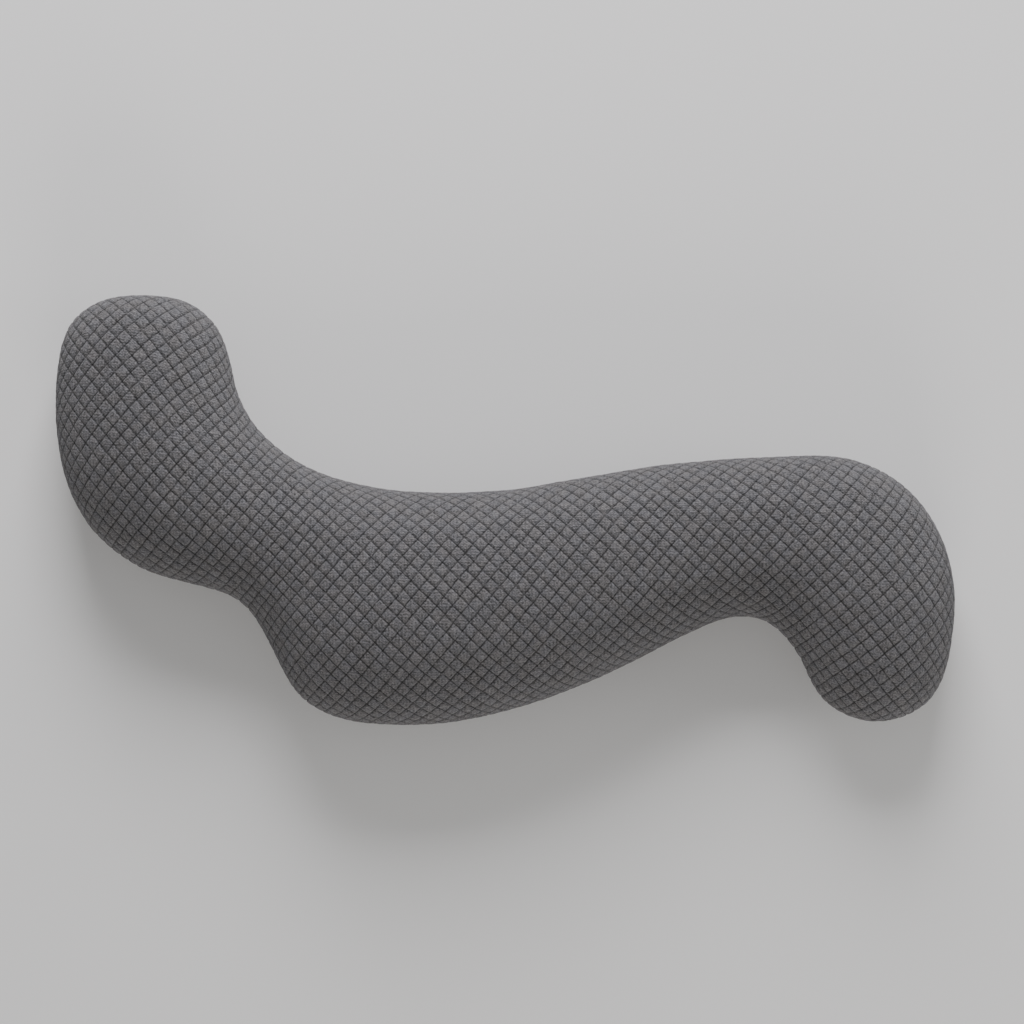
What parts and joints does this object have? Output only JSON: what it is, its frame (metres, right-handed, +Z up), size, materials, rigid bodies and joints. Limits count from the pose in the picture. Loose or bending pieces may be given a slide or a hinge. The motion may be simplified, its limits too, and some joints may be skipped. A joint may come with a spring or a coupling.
{
  "type": "pregnancy pillow",
  "caption": "Long S-shaped body pillow with a head end, a deep middle lobe and a turned-down leg end, in grey jacquard knit.",
  "frame": {"origin": "middle of the footprint's box, on the surface that the pillow lies on", "axes": "+X along the pillow from its head end to its leg end, +Y across it towards the head end's tip, +Z up out of the face"},
  "size_m": [1.3, 0.6216, 0.2242],
  "materials": {
    "grey_knit": "matt jacquard stretch knit"
  },
  "bodies": {
    "root": {"pillow": "grey_knit"}
  },
  "joints": []
}
